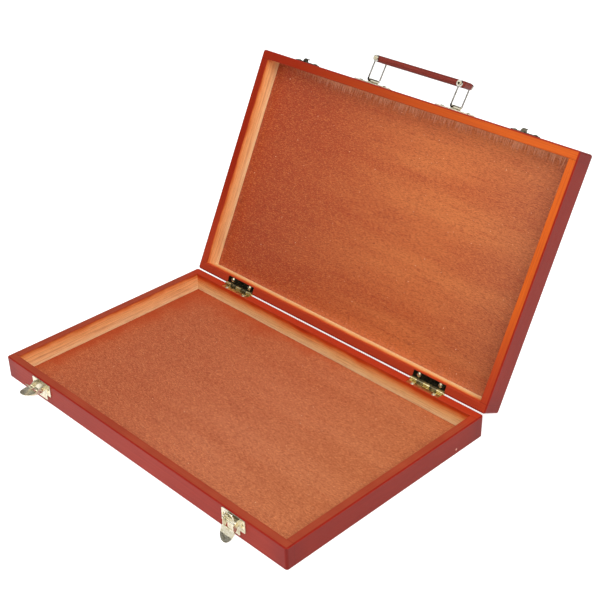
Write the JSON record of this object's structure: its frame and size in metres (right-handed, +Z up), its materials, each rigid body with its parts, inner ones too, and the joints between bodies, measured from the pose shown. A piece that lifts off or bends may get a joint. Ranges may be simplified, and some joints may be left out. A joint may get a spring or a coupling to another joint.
{
  "type": "wooden artist's carrying case",
  "caption": "Shallow hinged wooden artist's case: two equal trays, butt hinges, toggle latches with hooked keepers and a folding bar handle on wire bails.",
  "frame": {"origin": "centre of the base tray's flat underside, which rests on the table", "axes": "+X along the case's long side, -Y the front with the latches, +Z up; the lid is hinged at +Y and stored open"},
  "size_m": [0.38, 0.3942, 0.2556],
  "materials": {
    "lacquered_wood": "satin mahogany lacquer",
    "stained_plywood": "stained fine-grained plywood",
    "plated_brass": "polished pale brass plating",
    "handle_grip": "satin reddish brown"
  },
  "bodies": {
    "base": {"base_front_wall": "lacquered_wood", "base_back_wall": "lacquered_wood", "base_left_wall": "lacquered_wood", "base_right_wall": "lacquered_wood", "base_panel": "stained_plywood", "hinge_left_base_leaf": "plated_brass", "hinge_right_base_leaf": "plated_brass", "hinge_left_pin": "plated_brass", "hinge_right_pin": "plated_brass", "hinge_base_screws": "plated_brass", "latch_left_plate": "plated_brass", "latch_left_rivets": "plated_brass", "latch_right_plate": "plated_brass", "latch_right_rivets": "plated_brass", "latch_screws": "plated_brass"},
    "lid": {"lid_front_wall": "lacquered_wood", "lid_back_wall": "lacquered_wood", "lid_left_wall": "lacquered_wood", "lid_right_wall": "lacquered_wood", "lid_panel": "stained_plywood", "hinge_left_lid_leaf": "plated_brass", "hinge_right_lid_leaf": "plated_brass", "hinge_lid_screws": "plated_brass", "keeper_left": "plated_brass", "keeper_right": "plated_brass", "keeper_screws": "plated_brass", "handle_left_plate": "plated_brass", "handle_right_plate": "plated_brass", "handle_screws": "plated_brass"},
    "handle_left_bail": {"handle_left_bail": "plated_brass"},
    "handle_right_bail": {"handle_right_bail": "plated_brass"},
    "handle_grip": {"handle_grip": "handle_grip", "handle_grip_pins": "plated_brass"},
    "latch_left_lever": {"latch_left_lever": "plated_brass", "latch_left_link_pin": "plated_brass"},
    "latch_left_link": {"latch_left_link": "plated_brass"},
    "latch_right_lever": {"latch_right_lever": "plated_brass", "latch_right_link_pin": "plated_brass"},
    "latch_right_link": {"latch_right_link": "plated_brass"}
  },
  "joints": [
    {"name": "lid_hinge", "type": "hinge", "parent": "base", "child": "lid", "pos_m": [0, 0.1177, 0.0225], "axis": [1, 0, 0], "range_deg": [0, 116.7]},
    {"name": "handle_left_swing", "type": "hinge", "parent": "lid", "child": "handle_left_bail", "pos_m": [-0.05, 0.23473, 0.22982], "axis": [0, 0.8934, -0.4493], "range_deg": [-81, 71]},
    {"name": "handle_right_swing", "type": "hinge", "parent": "lid", "child": "handle_right_bail", "pos_m": [0.05, 0.23473, 0.22982], "axis": [0, 0.8934, -0.4493], "range_deg": [-81, 71]},
    {"name": "handle_grip_turn", "type": "hinge", "parent": "handle_left_bail", "child": "handle_grip", "pos_m": [-0.04815, 0.24422, 0.24869], "axis": [0, 0.8934, -0.4493], "range_deg": [-71, 81]},
    {"name": "latch_left_lever_pivot", "type": "hinge", "parent": "base", "child": "latch_left_lever", "pos_m": [-0.1325, -0.1214, 0.017], "axis": [-1, 0, 0], "range_deg": [-66, 5]},
    {"name": "latch_left_link_pivot", "type": "hinge", "parent": "latch_left_lever", "child": "latch_left_link", "pos_m": [-0.1325, -0.12361, 0.01459], "axis": [1, 0, 0], "range_deg": [-110.5, 8.83]},
    {"name": "latch_right_lever_pivot", "type": "hinge", "parent": "base", "child": "latch_right_lever", "pos_m": [0.131, -0.1214, 0.017], "axis": [-1, 0, 0], "range_deg": [0, 110]},
    {"name": "latch_right_link_pivot", "type": "hinge", "parent": "latch_right_lever", "child": "latch_right_link", "pos_m": [0.131, -0.1201, 0.014], "axis": [1, 0, 0], "range_deg": [0, 110.5]}
  ],
  "couplings": [
    {"joint": "handle_right_swing", "follows": "handle_left_swing", "ratio": 1},
    {"joint": "handle_grip_turn", "follows": "handle_left_swing", "ratio": -1},
    {"joint": "latch_left_link_pivot", "follows": "latch_left_lever_pivot", "ratio": 1.6667},
    {"joint": "latch_right_link_pivot", "follows": "latch_right_lever_pivot", "ratio": 1}
  ]
}
